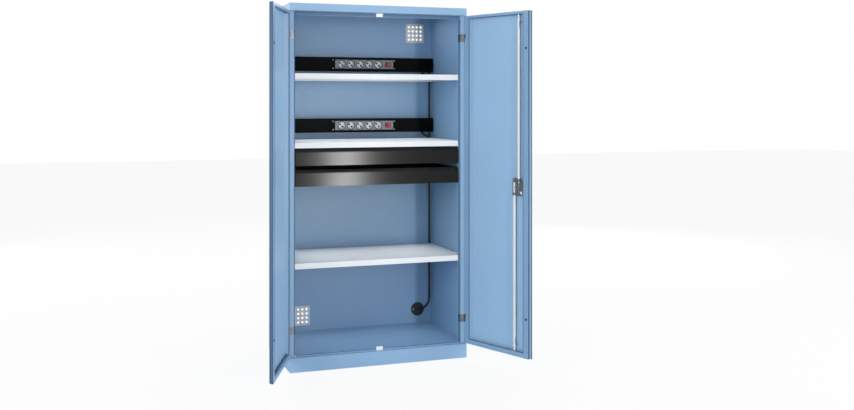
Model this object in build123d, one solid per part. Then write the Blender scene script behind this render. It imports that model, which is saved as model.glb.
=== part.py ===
"""Two-door charging cabinet for battery packs.

Millimetres. The origin is the centre of the footprint, on the floor. +X is right, +Y is towards the
back wall and +Z is up. The doors are modelled shut and then swung to DOOR_OPEN about their hinge axes.
"""

import os
from math import cos, pi, radians, sin, tan

from build123d import *

# Driving dimensions of the carcass
WIDTH = 1000.0
DEPTH = 580.0
HEIGHT = 1950.0
SHEET = 1.5
FRONT = -DEPTH / 2  # front plane of the plinth and the top rail
BACK = DEPTH / 2
PLINTH = 76.0  # height of the plinth
RAIL = 40.0  # height of the top rail
FLOOR = 84.0  # top of the inner floor
LIP = 21.0  # lip that hangs below the top rail
RAIL_Z = HEIGHT - RAIL
STILE_Y = -267.5  # front of the stiles, behind the doors
STOP_Y = -262.0  # front of the lips that the doors close against
STILE_IN = 465.0  # half width of the front opening
STILE_FACE = 25.0
BAY = WIDTH / 2 - SHEET  # half width between the side panels
WALL_Y = BACK - SHEET  # inner face of the back panel

# Doors
DOOR_OPEN = 111.0
DOOR_LOW = 78.0
DOOR_HIGH = 1908.0
DOOR_SKIN = 1.2
DOOR_DEPTH = 21.5
DOOR_GAP = 1.5  # half of the gap between the doors
STEP = 10.0  # how far the inner layer of the free edge steps
STEP_DEPTH = 10.0
FLANGE_SIDE = 33.0
FLANGE_TOP = 17.0
FLANGE_BOTTOM = 28.0
BEVEL_HINGE = 16.0
BEVEL_FREE = 9.0
HINGE_X = 499.0
HINGE_Y = -273.0
HINGE_Z = (217.0, 1785.0)
HINGE_TALL = 42.0
KNUCKLE = 4.0
PIN = 2.5
BUFFER_Z = (285.0, 1710.0)
PLUG_Z = (110.0, 1875.0)

# Lock with rack and pinion, on the right door; U is the distance from the hinge axis
LOCK_U = 400.0
LOCK_Z = 975.0
LOCK_WIDE = 79.0
LOCK_TALL = 93.0
LOCK_FRONT = -278.5  # inner face of the lock case
MODULE = 1.5
TEETH = 16
PITCH_R = MODULE * TEETH / 2
ROD_R = 4.4
ROD_Y = -274.0
ROD_OFF = 16.0  # from the spindle to each rod
ROD_TIP_LOW = DOOR_LOW + 1.0
ROD_TIP_HIGH = DOOR_HIGH - 1.0
LEVER = 112.0

# Shelves, drawers and sockets
SHELF_TOPS = (567.0, 1210.0, 1580.0)
SHELF_EDGE = 30.0
SHELF_FRONT = -246.0
SHELF_BACK = 262.0
STRIP_Z = (1289.0, 1650.0)
STRIP_TALL = 82.0
STRIP_Y = 238.0
STRIP_HALF = 491.0
HOUSING_X = (-121.0, 235.0)
HOUSING_TALL = 55.0
HOUSING_Y = 230.0
SOCKET_PITCH = 55.9
SOCKET_X = [-81.0 + SOCKET_PITCH * index for index in range(5)]
SOCKET_R = 22.0
RECESS_R = 19.5
RECESS_DEEP = 16.0
SWITCH_X = 203.0
SCREW_X = (-132.0, 244.0)
DRAWER_Z = (976.0, 1087.0)
DRAWER_TALL = 88.0
DRAWER_FACE = 69.0
DRAWER_HALF = 463.0
TRAY_HALF = 446.0
DRAWER_FRONT = -256.0
TRAY_BACK = 236.0
SLIDE_LONG = 450.0
VENTS = ((391.0, 1844.0), (-317.0, 175.0))
VENT = 114.0
ENTRY = (408.0, 167.0)
ENTRY_R = 41.0
CABLE_R = 5.5
CABLE_X = 482.0
BRANCH_R = 4.5
BRANCH_X = 430.0
BRANCH_Y = 262.0
CLIP_Z = (465.0, 1040.0, 1289.0)
CABLE_Y = 281.0


def box(x0, x1, y0, y1, z0, z1):
    """A box between three pairs of coordinates, in either order."""
    middle = ((x0 + x1) / 2, (y0 + y1) / 2, (z0 + z1) / 2)
    return Pos(*middle) * Box(abs(x1 - x0), abs(y1 - y0), abs(z1 - z0))


def rod(x, y, z0, z1, radius):
    """An upright cylinder."""
    return Pos(x, y, (z0 + z1) / 2) * Cylinder(radius, abs(z1 - z0))


def across(x, z, y0, y1, radius):
    """A cylinder along Y."""
    return Pos(x, (y0 + y1) / 2, z) * Rot(90, 0, 0) * Cylinder(radius, abs(y1 - y0))


def mirrored(shape):
    """The same shape on the other side of the cabinet."""
    return mirror(shape, about=Plane.YZ)


def solids_of(*shapes):
    """Separate solids in one compound."""
    return Compound(children=[solid for shape in shapes for solid in shape.solids()])


def folded(points, radius, plane, length, thick=SHEET):
    """A sheet folded along a profile, its thickness to the left, extruded along the plane's normal."""
    bends = FilletPolyline(*points, radius=radius)
    section = make_face(offset(bends, amount=thick, side=Side.LEFT, kind=Kind.ARC, closed=True))
    return extrude(plane * section, length)


def write(name, shape):
    """Write one sub-part as STEP."""
    shape.label = name
    export_step(shape, f"parts/{name}.step")


# ---------------------------------------------------------------- carcass


def side_panel():
    """The left side, with its stile folded in at the front."""
    profile = (
        (-WIDTH / 2, BACK),
        (-WIDTH / 2, STILE_Y),
        (-WIDTH / 2 + STILE_FACE, STILE_Y),
        (-STILE_IN, STOP_Y + 14),
        (-STILE_IN, STOP_Y + 30),
    )
    panel = folded(profile, 1.0, Plane.XY, HEIGHT)
    for z in HINGE_Z:  # the hinge leaves lie flush in the stile
        panel -= box(-WIDTH, -STILE_IN - 8, STILE_Y - 1, STILE_Y + 2, z - HINGE_TALL / 2, z + HINGE_TALL / 2)
    inside = box(-BAY, -STILE_IN + 5, STILE_Y - 9, STOP_Y + 40, 0, PLINTH)
    above = box(-BAY, -STILE_IN + 5, STILE_Y - 9, STOP_Y + 40, RAIL_Z, HEIGHT)
    return panel - inside - above


def top_panel():
    """The roof, folded down into the front rail and its door lip."""
    profile = (
        (WALL_Y - SHEET, HEIGHT - SHEET - 14),
        (WALL_Y - SHEET, HEIGHT - SHEET),
        (FRONT + SHEET, HEIGHT - SHEET),
        (FRONT + SHEET, RAIL_Z + SHEET),
        (STOP_Y + SHEET, RAIL_Z + SHEET),
        (STOP_Y + SHEET, RAIL_Z - LIP),
    )
    bends = FilletPolyline(*profile, radius=0.8)
    section = make_face(offset(bends, amount=SHEET, side=Side.RIGHT, kind=Kind.ARC, closed=True))
    roof = Pos(-BAY, 0, 0) * extrude(Plane.YZ * section, 2 * BAY)
    for side in (-1, 1):
        roof -= box(side * STILE_IN, side * WIDTH, STOP_Y - 3, STOP_Y + 9, RAIL_Z - LIP - 9, RAIL_Z)
        roof += box(side * BAY, side * WIDTH / 2, FRONT, STILE_Y, RAIL_Z, HEIGHT)
    return roof - rod(HINGE_X - LOCK_U - ROD_OFF, ROD_Y, RAIL_Z - 2, RAIL_Z + 9, ROD_R + 1.5)


def floor_panel():
    """The inner floor, stepped down at the front onto the plinth."""
    floor = box(-BAY, BAY, STOP_Y, WALL_Y, FLOOR - SHEET, FLOOR)
    floor -= box(-BAY, -STILE_IN, STOP_Y, STOP_Y + 31, 0, FLOOR)
    floor -= box(STILE_IN, BAY, STOP_Y, STOP_Y + 31, 0, FLOOR)
    floor += box(-STILE_IN, STILE_IN, STOP_Y, STOP_Y + SHEET, PLINTH, FLOOR)
    return floor


def plinth():
    """The plinth fascia with its top shelf, and the foot frame that bolts to the floor."""
    fascia = box(-WIDTH / 2, WIDTH / 2, FRONT, FRONT + SHEET, 0, PLINTH)
    fascia += box(-WIDTH / 2, WIDTH / 2, FRONT, STILE_Y, PLINTH - SHEET, PLINTH)
    fascia += box(-BAY, BAY, STILE_Y, STOP_Y + SHEET, PLINTH - SHEET, PLINTH)
    for side in (-1, 1):
        fascia += box(side * BAY, side * WIDTH / 2, FRONT, STILE_Y, 0, PLINTH)
    foot = box(-BAY, BAY, FRONT + SHEET, WALL_Y, 0, 3)
    foot -= box(-BAY + 60, BAY - 60, FRONT + 80, WALL_Y - 80, 0, 3)
    for x in (-455, 455):
        for y in (-240, 240):
            foot -= rod(x, y, 0, 3, 6)
    frame = fascia + foot
    return frame - rod(HINGE_X - LOCK_U + ROD_OFF, ROD_Y, PLINTH - 9, PLINTH + 2, ROD_R + 1.5)


def back_panel():
    """The back wall with openings for the vents and the cable entry."""
    wall = box(-BAY, BAY, WALL_Y, BACK, 0, HEIGHT)
    for x, z in VENTS:
        wall -= box(x - 50, x + 50, WALL_Y, BACK, z - 50, z + 50)
    return wall - across(ENTRY[0], ENTRY[1], WALL_Y, BACK, 30)


def vent(x, z):
    """A plate with four rows of four holes, on the inner face of the back wall."""
    plate = box(-VENT / 2, VENT / 2, WALL_Y - 2, WALL_Y, -VENT / 2, VENT / 2)
    plate = fillet(plate.edges().filter_by(Axis.Y), 3)
    plate = chamfer(plate.faces().sort_by(Axis.Y)[0].edges(), 0.8)
    for column in range(4):
        for row in range(4):
            plate -= across(25 * (column - 1.5), 25 * (row - 1.5), WALL_Y - 3, WALL_Y + 1, 7)
    return Pos(x, 0, z) * plate


def door_stop(low, high):
    """A white stop on the frame lip, where both doors meet."""
    stop = box(-18.5, 18.5, STOP_Y - 3, STOP_Y, low, high)
    return fillet(stop.edges().filter_by(Axis.Y), 2)


# ---------------------------------------------------------------- shelves and their brackets


def shelf(top):
    """A shelf folded down on four sides, with a return along the front edge."""
    half = BAY - 4
    plate = box(-half, half, SHELF_FRONT, SHELF_BACK, top - SHELF_EDGE, top)
    plate -= box(-half + 1.2, half - 1.2, SHELF_FRONT + 1.2, SHELF_BACK - 1.2, top - SHELF_EDGE, top - 1.2)
    for side in (-1, 1):
        edge = STILE_IN - 0.4
        plate -= box(side * edge, side * WIDTH, SHELF_FRONT - 1, STOP_Y + 34, top - 99, top)
        plate += box(side * edge, side * (edge - 1.2), SHELF_FRONT, STOP_Y + 34, top - SHELF_EDGE, top)
        plate += box(side * (edge - 1.2), side * half, STOP_Y + 34, STOP_Y + 35.2, top - SHELF_EDGE, top)
    lip = box(-edge, edge, SHELF_FRONT, SHELF_FRONT + 14, top - SHELF_EDGE, top - SHELF_EDGE + 1.2)
    return plate + lip


def shelf_bracket(top):
    """An angle on the left side panel, under the shelf's end."""
    leg = box(-BAY, -BAY + 2, -210, 250, top - SHELF_EDGE - 2, top - 6)
    return leg + box(-BAY, -BAY + 22, -210, 250, top - SHELF_EDGE - 2, top - SHELF_EDGE)


# ---------------------------------------------------------------- socket strips


def strip(z):
    """The full-width channel that carries a socket unit."""
    low, high = z - STRIP_TALL / 2, z + STRIP_TALL / 2
    channel = box(-STRIP_HALF, STRIP_HALF, STRIP_Y, STRIP_Y + SHEET, low, high)
    for edge in (low, high - SHEET):
        channel += box(-STRIP_HALF, CABLE_X - 16, STRIP_Y, WALL_Y, edge, edge + SHEET)
    channel -= rod(BRANCH_X, BRANCH_Y, low - 1, low + SHEET + 1, BRANCH_R)
    return channel - box(*HOUSING_X, STRIP_Y, STRIP_Y + SHEET, z - HOUSING_TALL / 2, z + HOUSING_TALL / 2)


def socket_housing(z):
    """The extruded shell of a socket unit, open at the back and fixed to the channel by two ears."""
    low, high = z - HOUSING_TALL / 2, z + HOUSING_TALL / 2
    shell = box(*HOUSING_X, HOUSING_Y, WALL_Y - 8, low, high)
    shell = chamfer(shell.edges().filter_by(Axis.X).group_by(Axis.Y)[0], 2)
    shell -= box(HOUSING_X[0] + 2, HOUSING_X[1] - 2, HOUSING_Y + 2, WALL_Y, low + 2, high - 2)
    back = STRIP_Y + SHEET
    shell += box(HOUSING_X[0] - 22, HOUSING_X[0] + 2, back, back + 2, low, high)
    shell += box(HOUSING_X[1] - 2, HOUSING_X[1] + 18, back, back + 2, low, high)
    for x in SOCKET_X:
        shell -= across(x, z, HOUSING_Y - 1, HOUSING_Y + 3, SOCKET_R)
    return shell - box(SWITCH_X - 17, SWITCH_X + 17, HOUSING_Y - 1, HOUSING_Y + 3, z - 13, z + 13)


def socket(x, z):
    """A round socket cup with two contact holes on a diagonal and two earth clips across it."""
    cup = across(0, 0, HOUSING_Y, HOUSING_Y + RECESS_DEEP + 3, SOCKET_R)
    cup = chamfer(cup.faces().sort_by(Axis.Y)[0].edges(), 0.8)
    cup -= across(0, 0, HOUSING_Y - 1, HOUSING_Y + RECESS_DEEP, RECESS_R)
    for side in (-1, 1):
        cup -= across(side * 9.5, 0, HOUSING_Y, HOUSING_Y + 30, 2.7)
        cup += box(-2.5, 2.5, HOUSING_Y + 4, HOUSING_Y + RECESS_DEEP, side * (RECESS_R - 1.2), side * 20)
    return Pos(x, 0, z) * Rot(0, 45, 0) * cup


def bezel(z):
    """The frame that the rocker sits in."""
    frame = box(-18.5, 18.5, HOUSING_Y - 1.5, HOUSING_Y, -14.5, 14.5)
    frame = chamfer(frame.faces().sort_by(Axis.Y)[0].edges(), 0.7)
    frame += box(-17, 17, HOUSING_Y - 1, HOUSING_Y + 10, -13, 13)
    frame -= box(-15.3, 15.3, HOUSING_Y - 2, HOUSING_Y + 12, -11.4, 11.4)
    frame -= rod(0, HOUSING_Y + 3, -12.4, 12.4, 1.6)
    return Pos(SWITCH_X, 0, z) * frame


def rocker(z):
    """A rocker on an upright pivot, resting in one of its two places."""
    outline = Polyline((-14, -6.5), (0, -4), (14, -6.5), (14, 2), (8, 4), (-8, 4), (-14, 2), close=True)
    body = Pos(0, 0, -11) * extrude(make_face(outline), 22)
    body += rod(0, 0, -12.2, 12.2, 1.5)
    return Pos(SWITCH_X, HOUSING_Y + 3, z) * Rot(0, 0, ROCKER_REST) * body


ROCKER_REST = -8.0


def screw(x, z):
    """A pan-head screw in the face of a channel."""
    head = across(x, z, STRIP_Y - 2.2, STRIP_Y, 3.6)
    return chamfer(head.faces().sort_by(Axis.Y)[0].edges(), 1)


# ---------------------------------------------------------------- cable


def cable(points, bend, radius):
    """A round cable along straight runs joined by tangent arcs."""
    route = FilletPolyline(*points, radius=bend)
    start = Plane(origin=route @ 0, z_dir=route % 0)
    return sweep(start * Circle(radius), path=route)


def main_cable():
    """The cable from the upper strip down the back wall, round to the entry."""
    drop = FilletPolyline(
        (CABLE_X, CABLE_Y, STRIP_Z[1] - 10),
        (CABLE_X, CABLE_Y, 215),
        (CABLE_X - 26, 276, 180),
        (ENTRY[0] + 12, 268, ENTRY[1]),
        radius=40,
    )
    turn = FilletPolyline(drop @ 1, (ENTRY[0], 266, ENTRY[1]), (ENTRY[0], BACK - 3, ENTRY[1]), radius=9)
    pieces = []
    for route in (drop, turn):
        start = Plane(origin=route @ 0, z_dir=route % 0)
        pieces.append(sweep(start * Circle(CABLE_R), path=route, transition=Transition.ROUND))
    return pieces[0] + pieces[1]


def branch_cable(z):
    """A short tail from the underside of a strip, ending in a splice sleeve round the main cable."""
    low = z - STRIP_TALL / 2
    exit_low = low - 10
    route = ((BRANCH_X, BRANCH_Y, low + 12), (BRANCH_X, BRANCH_Y, exit_low), (CABLE_X, CABLE_Y, low - 38))
    tail = cable(route, 9, BRANCH_R)
    sleeve = rod(CABLE_X, CABLE_Y, low - 58, low - 22, CABLE_R + 1.5)
    return tail + sleeve - rod(CABLE_X, CABLE_Y, low - 90, low + 20, CABLE_R)


def entry_grommet():
    """A round two-step rubber entry with a bore for the cable."""
    body = across(*ENTRY, WALL_Y - 4, WALL_Y, ENTRY_R)
    body = chamfer(body.faces().sort_by(Axis.Y)[0].edges(), 1.5)
    body += across(*ENTRY, WALL_Y, BACK + 2, 30)
    body += across(*ENTRY, WALL_Y - 9, WALL_Y, 18)
    return body - across(*ENTRY, WALL_Y - 20, BACK + 5, CABLE_R)


def cable_clip(z):
    """A saddle that holds the main cable to the back wall."""
    saddle = rod(CABLE_X, CABLE_Y, z - 6, z + 6, CABLE_R + 1.5)
    saddle += box(CABLE_X - 16, CABLE_X + 7, CABLE_Y + 3, WALL_Y, z - 6, z + 6)
    return saddle - rod(CABLE_X, CABLE_Y, z - 7, z + 7, CABLE_R)


# ---------------------------------------------------------------- doors


def right_of(u):
    """The X of a place on the closed right door, from its distance to the hinge axis."""
    return HINGE_X - u


def layers(free_outer, free_inner, inset):
    """The right door's two layers as one block, shrunk by an inset."""
    edge = WIDTH / 2 - 0.5 - inset
    low, high = DOOR_LOW + inset, DOOR_HIGH - inset
    inner = FRONT + DOOR_DEPTH
    block = box(free_outer + inset, edge, FRONT + inset, inner, low, high)
    step = FRONT + STEP_DEPTH
    if free_inner > free_outer:
        return block - box(free_outer - 1, free_inner + inset, step - inset, inner, low, high)
    return block + box(free_inner + inset, free_outer + inset, step + inset, inner, low, high)


def hinge_notches():
    """Room in the door edge for the two hinge knuckles."""
    notch = None
    for z in HINGE_Z:
        cut = box(HINGE_X - 7, WIDTH, HINGE_Y - 6, STILE_Y, z - HINGE_TALL / 2 - 1, z + HINGE_TALL / 2 + 1)
        notch = cut if notch is None else notch + cut
    return notch


def door_pan(free_outer, free_inner):
    """The outer pan of a right-hand door: face and four edges."""
    pan = layers(free_outer, free_inner, 0) - layers(free_outer, free_inner, DOOR_SKIN)
    pan -= hinge_notches()
    for z in (88.0, 1877.0):  # draining slots beside the hinge edge
        pan -= box(right_of(9), right_of(14), FRONT + 9, FRONT + 14, z, z + 22)
    return pan


def door_liner(free_inner):
    """The inner frame of a right-hand door: flat flange, bevels at the sides and short lips across."""
    outer_x, inner_x = WIDTH / 2 - 0.5 - DOOR_SKIN, free_inner + DOOR_SKIN
    low, high = DOOR_LOW + DOOR_SKIN, DOOR_HIGH - DOOR_SKIN
    face = FRONT + DOOR_DEPTH
    x0, x1 = inner_x + FLANGE_SIDE, outer_x - FLANGE_SIDE
    z0, z1 = DOOR_LOW + FLANGE_BOTTOM, DOOR_HIGH - FLANGE_TOP
    frame = box(inner_x, outer_x, face - DOOR_SKIN, face, low, high)
    frame -= box(x0, x1, face - 2, face, z0, z1)
    deep = DOOR_DEPTH - 2 * DOOR_SKIN
    for x, run in ((x1, -BEVEL_HINGE), (x0, BEVEL_FREE)):
        back = -1.3 if run > 0 else 1.3
        slope = Polyline((x, 0), (x + run, -deep), (x + run + back, -deep), (x + back, 0), close=True)
        frame += Pos(0, face - DOOR_SKIN, z0) * extrude(make_face(slope), z1 - z0)
    for z in (z0 - DOOR_SKIN, z1):
        frame += box(x0, x1, face - 9, face - DOOR_SKIN, z, z + DOOR_SKIN)
    return frame - hinge_notches()


def buffers(free_inner):
    """Two rubber buffers on the flange of the free edge."""
    face = FRONT + DOOR_DEPTH
    pads = [across(free_inner + 13, z, face, face + 1.5, 5) for z in BUFFER_Z]
    return solids_of(*pads)


def plugs(free_outer):
    """Two round plugs in the thickness of the free edge."""
    y = FRONT + 5
    ends = [Pos(free_outer, y, z) * Rot(0, 90, 0) * Cylinder(3, 1.2) for z in PLUG_Z]
    return solids_of(*[Pos(-0.6, 0, 0) * end for end in ends])


def hinge_frame_leaves():
    """The cabinet halves of the right-hand hinges: leaf over the stile, lower knuckle."""
    leaves = []
    for z in HINGE_Z:
        low, high = z - HINGE_TALL / 2, z + HINGE_TALL / 2
        leaf = box(STILE_IN + 8, WIDTH / 2, STILE_Y, STILE_Y + 2, low, high)
        leaf += box(HINGE_X - 2, HINGE_X + 1, HINGE_Y + 1, STILE_Y, low, z - 0.2)
        leaf += rod(HINGE_X, HINGE_Y, low, z - 0.2, KNUCKLE)
        leaves.append(leaf - rod(HINGE_X, HINGE_Y, low - 1, high + 1, PIN))
    return solids_of(*leaves)


def hinge_door_leaves():
    """The door halves of the right-hand hinges: leaf inside the flange, upper knuckle."""
    leaves = []
    back = FRONT + DOOR_DEPTH - DOOR_SKIN
    for z in HINGE_Z:
        low, high = z - HINGE_TALL / 2, z + HINGE_TALL / 2
        leaf = box(HINGE_X - 32, HINGE_X - 2, back - 2, back, z + 0.2, high)
        leaf += box(HINGE_X - 32, HINGE_X - 9, back - 2, back, low, high)
        leaf += rod(HINGE_X, HINGE_Y, z + 0.2, high, KNUCKLE)
        leaves.append(leaf - rod(HINGE_X, HINGE_Y, low - 1, high + 1, PIN + 0.06))
    return solids_of(*leaves)


def hinge_pins():
    """The pins of the right-hand hinges."""
    pins = [rod(HINGE_X, HINGE_Y, z - HINGE_TALL / 2, z + HINGE_TALL / 2, PIN) for z in HINGE_Z]
    return solids_of(*pins)


# ---------------------------------------------------------------- lock


def involute(angle):
    """A point on the involute of the pinion's base circle."""
    base = PITCH_R * cos(radians(20))
    return base * (cos(angle) + angle * sin(angle)), base * (sin(angle) - angle * cos(angle))


def turned(point, angle):
    """A point turned about the origin, in radians."""
    x, z = point
    return x * cos(angle) - z * sin(angle), x * sin(angle) + z * cos(angle)


def pinion():
    """The toothed wheel on the handle's spindle, with involute teeth."""
    base, tip, root = PITCH_R * cos(radians(20)), PITCH_R + MODULE, PITCH_R - 1.25 * MODULE
    last = ((tip / base) ** 2 - 1) ** 0.5
    at_pitch = tan(radians(20)) - radians(20)
    half = pi / (2 * TEETH) + at_pitch - 0.012  # half a tooth at the base circle, less the play
    flank = [turned(involute(last * step / 4), -half) for step in range(5)]
    foot = turned((root - 0.4, 0), -half)
    left = [foot, *flank]
    outline = left + [(x, -z) for x, z in reversed(left)]
    tooth = extrude(Plane.XZ * make_face(Polyline(*outline, close=True)), GEAR_THICK)
    wheel = across(0, 0, -GEAR_THICK, 0, root)
    for index in range(TEETH):
        wheel += Rot(0, index * 360 / TEETH, 0) * tooth
    wheel = wheel + across(0, 0, -GEAR_THICK - 1.5, 0, 8)
    wheel = wheel - box(-4, 4, -99, 99, -4, 4)
    return Pos(right_of(LOCK_U), GEAR_Y, LOCK_Z) * wheel


GEAR_THICK = 6.0
GEAR_Y = -271.0  # inner face of the pinion and the racks


def rack(side):
    """A toothed bar beside the pinion and the locking rod fixed in its end; side 1 is the upper one."""
    pitch = pi * MODULE
    line, top, root = PITCH_R, PITCH_R - MODULE + 0.1, PITCH_R + 1.25 * MODULE
    bar = box(root, ROD_OFF + 5, GEAR_Y - GEAR_THICK, GEAR_Y, -26, 24)
    slope = tan(radians(20))
    wide = pitch / 4 - 0.06
    tooth_line = Polyline(
        (root + 0.5, -wide - slope * (root - line)), (top, -wide + slope * (line - top)),
        (top, wide - slope * (line - top)), (root + 0.5, wide + slope * (root - line)), close=True)
    tooth = Pos(0, GEAR_Y, 0) * extrude(Plane.XZ * make_face(tooth_line), GEAR_THICK)
    for index in range(-5, 5):
        bar += Pos(0, 0, (index + 0.5) * pitch) * tooth
    reach = ROD_TIP_HIGH - LOCK_Z if side > 0 else LOCK_Z - ROD_TIP_LOW
    shank = rod(ROD_OFF, ROD_Y, 24, reach, ROD_R)
    shank = chamfer(shank.faces().sort_by(Axis.Z)[-1].edges(), 1.5)
    bar += shank
    bar = bar if side < 0 else mirror(bar, about=Plane.YZ)
    bar = bar if side > 0 else mirror(bar, about=Plane.XY)
    return Pos(right_of(LOCK_U), 0, LOCK_Z) * bar


def lock_case():
    """The case that carries the spindle, with bridges that keep the racks on it."""
    x, z = right_of(LOCK_U + 4), LOCK_Z
    case = box(x - LOCK_WIDE / 2, x + LOCK_WIDE / 2, FRONT + DOOR_SKIN, LOCK_FRONT,
               z - LOCK_TALL / 2, z + LOCK_TALL / 2)
    case = fillet(case.edges().filter_by(Axis.Y), 3)
    case -= across(right_of(LOCK_U), z, FRONT, LOCK_FRONT + 1, 8.2)
    bridge = ROD_Y + ROD_R + 0.3
    for side in (-1, 1):
        middle = right_of(LOCK_U) - side * (ROD_OFF + 1)
        zb = z + side * 36
        for end in (-9, 9):
            case += box(middle + end * 5 / 6, middle + end, LOCK_FRONT - 1, bridge, zb - 5, zb + 5)
        case += box(middle - 9, middle + 9, bridge, bridge + 1.2, zb - 5, zb + 5)
    return case


def rod_guides():
    """Plastic guides for the rods, near both ends of the door."""
    guides = []
    for side, z in ((1, DOOR_HIGH - 60), (-1, DOOR_LOW + 70)):
        x = right_of(LOCK_U + side * ROD_OFF)
        guide = box(x - 9, x + 9, FRONT + DOOR_SKIN, ROD_Y + 3, z - 7, z + 7)
        guide = fillet(guide.edges().filter_by(Axis.Y), 2)
        guides.append(guide - rod(x, ROD_Y, z - 9, z + 9, ROD_R + 0.3))
    return solids_of(*guides)


def handle_plate():
    """The round plate on the outside of the door, round the handle."""
    plate = across(right_of(LOCK_U), LOCK_Z, FRONT - 5, FRONT, 26)
    plate = chamfer(plate.faces().sort_by(Axis.Y)[0].edges(), 1.5)
    return plate - across(right_of(LOCK_U), LOCK_Z, FRONT - 6, FRONT + 1, 13)


def handle():
    """The lever, its neck and the square spindle that drives the pinion."""
    neck = across(0, 0, FRONT - 26, FRONT + 1, 12.7)
    grip = SlotOverall(LEVER, 20).face().translate((LEVER / 2 - 14, 0, 0))
    lever = Pos(0, FRONT - 26, 0) * extrude(Plane.XZ * grip, 12)
    lever = chamfer(lever.edges().group_by(Axis.Y)[0], 2)
    spindle = box(-3.9, 3.9, FRONT, GEAR_Y + 1, -3.9, 3.9)
    spindle += across(0, 0, FRONT + 1, LOCK_FRONT, 8)
    whole = neck + lever + spindle
    whole -= across(0, 0, FRONT - 99, FRONT - 20, CORE_R + 0.1)
    return Pos(right_of(LOCK_U), 0, LOCK_Z) * whole


CORE_R = 7.0


def lock_core():
    """The key cylinder in the middle of the handle, with its key slot."""
    core = across(0, 0, FRONT - 39, FRONT - 20, CORE_R)
    core = chamfer(core.faces().sort_by(Axis.Y)[0].edges(), 0.6)
    core -= box(-1.2, 1.2, FRONT - 40, FRONT - 33, -4.5, 4.5)
    return Pos(right_of(LOCK_U), 0, LOCK_Z) * core


# ---------------------------------------------------------------- drawers


def drawer_tray(low):
    """The folded tray of a drawer, open at the top."""
    high = low + DRAWER_TALL
    tray = box(-TRAY_HALF, TRAY_HALF, DRAWER_FRONT + 14, TRAY_BACK, low + 2, high)
    return tray - box(-TRAY_HALF + 1.2, TRAY_HALF - 1.2, DRAWER_FRONT + 15.2, TRAY_BACK - 1.2, low + 3.2, high)


def drawer_front(low):
    """The drawer front: flat face, groove, and a lip that leans back to the top edge."""
    face, top = low + DRAWER_FACE, low + DRAWER_TALL
    y = DRAWER_FRONT
    outline = Polyline(
        (y + 14, low), (y, low), (y, face), (y + 1.5, face + 1.5), (y + 1.5, face + 3), (y + 12.5, top),
        (y + 14, top), close=True)
    front = Pos(-DRAWER_HALF, 0, 0) * extrude(Plane.YZ * make_face(outline), 2 * DRAWER_HALF)
    hollow = box(-DRAWER_HALF + 2, DRAWER_HALF - 2, y + 2, y + 12.6, low + 2, face - 2)
    return front - hollow


def slide_height(low):
    """The middle of a drawer's slides."""
    return low + 40


def channel(half_tall, web_x, lip_x, thick, z):
    """A pair of upright channels, open towards the drawer, one on each side."""
    y0, y1 = DRAWER_FRONT + 20, DRAWER_FRONT + 20 + SLIDE_LONG
    web = box(web_x - thick, web_x, y0, y1, z - half_tall, z + half_tall)
    for side in (-1, 1):
        web += box(lip_x, web_x, y0, y1, z + side * half_tall, z + side * (half_tall - thick))
    return solids_of(web, mirrored(web))


def slide_outer(low):
    """The cabinet members of a drawer's slides, on spacers from the side panels."""
    z = slide_height(low)
    rails = channel(22.5, 459.0, 447.5, 1.3, z)
    spacer = box(459, BAY, -190, -150, z - 14, z + 14) + box(459, BAY, 130, 170, z - 14, z + 14)
    left = mirrored(spacer)
    return solids_of(*(rails.solids() + list(spacer.solids()) + list(left.solids())))


def slide_middle(low):
    """The middle members of a drawer's slides."""
    return channel(20.0, 456.5, 448.5, 1.2, slide_height(low))


def slide_inner(low):
    """The drawer members of a drawer's slides."""
    z = slide_height(low)
    y0, y1 = DRAWER_FRONT + 20, DRAWER_FRONT + 20 + SLIDE_LONG
    bar = box(TRAY_HALF, TRAY_HALF + 1.2, y0, y1, z - 16, z + 16)
    for side in (-1, 1):
        bar += box(TRAY_HALF, 454, y0, y1, z + side * 16, z + side * 14.8)
    return solids_of(bar, mirrored(bar))


# ---------------------------------------------------------------- build


def swing(shape, side):
    """A closed door piece swung open about its hinge axis; side is 1 on the right."""
    axis = Axis((side * HINGE_X, HINGE_Y, 0), (0, 0, 1))
    return shape.rotate(axis, side * DOOR_OPEN)


def build_carcass():
    """Everything that stands still."""
    left = side_panel()
    write("side_left", left)
    write("side_right", mirrored(left))
    write("roof_panel", top_panel())
    write("floor_panel", floor_panel())
    write("plinth_frame", plinth())
    write("back_panel", back_panel())
    write("vent_upper", vent(*VENTS[0]))
    write("vent_lower", vent(*VENTS[1]))
    write("door_stop_upper", door_stop(RAIL_Z - LIP + 1, RAIL_Z - 1))
    write("door_stop_lower", door_stop(FLOOR - 8, FLOOR + 12))
    brackets = []
    for name, top in zip(("lower", "middle", "upper"), SHELF_TOPS):
        write(f"shelf_{name}", shelf(top))
        bracket = shelf_bracket(top)
        brackets += [bracket, mirrored(bracket)]
    write("shelf_brackets", solids_of(*brackets))
    right = hinge_frame_leaves()
    write("hinge_frame_leaves", solids_of(right, mirrored(right)))
    pins = hinge_pins()
    write("hinge_pins", solids_of(pins, mirrored(pins)))


def build_sockets():
    """The two socket strips with their cables."""
    screws = []
    for name, z in zip(("lower", "upper"), STRIP_Z):
        write(f"strip_{name}", strip(z))
        write(f"socket_housing_{name}", socket_housing(z))
        write(f"sockets_{name}", solids_of(*[socket(x, z) for x in SOCKET_X]))
        write(f"switch_bezel_{name}", bezel(z))
        write(f"rocker_{name}", rocker(z))
        write(f"branch_cable_{name}", branch_cable(z))
        screws += [screw(x, z + dz) for x in SCREW_X for dz in (-24, 24)]
    write("strip_screws", solids_of(*screws))
    write("main_cable", main_cable())
    write("cable_entry", entry_grommet())
    write("cable_clips", solids_of(*[cable_clip(z) for z in CLIP_Z]))


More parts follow.
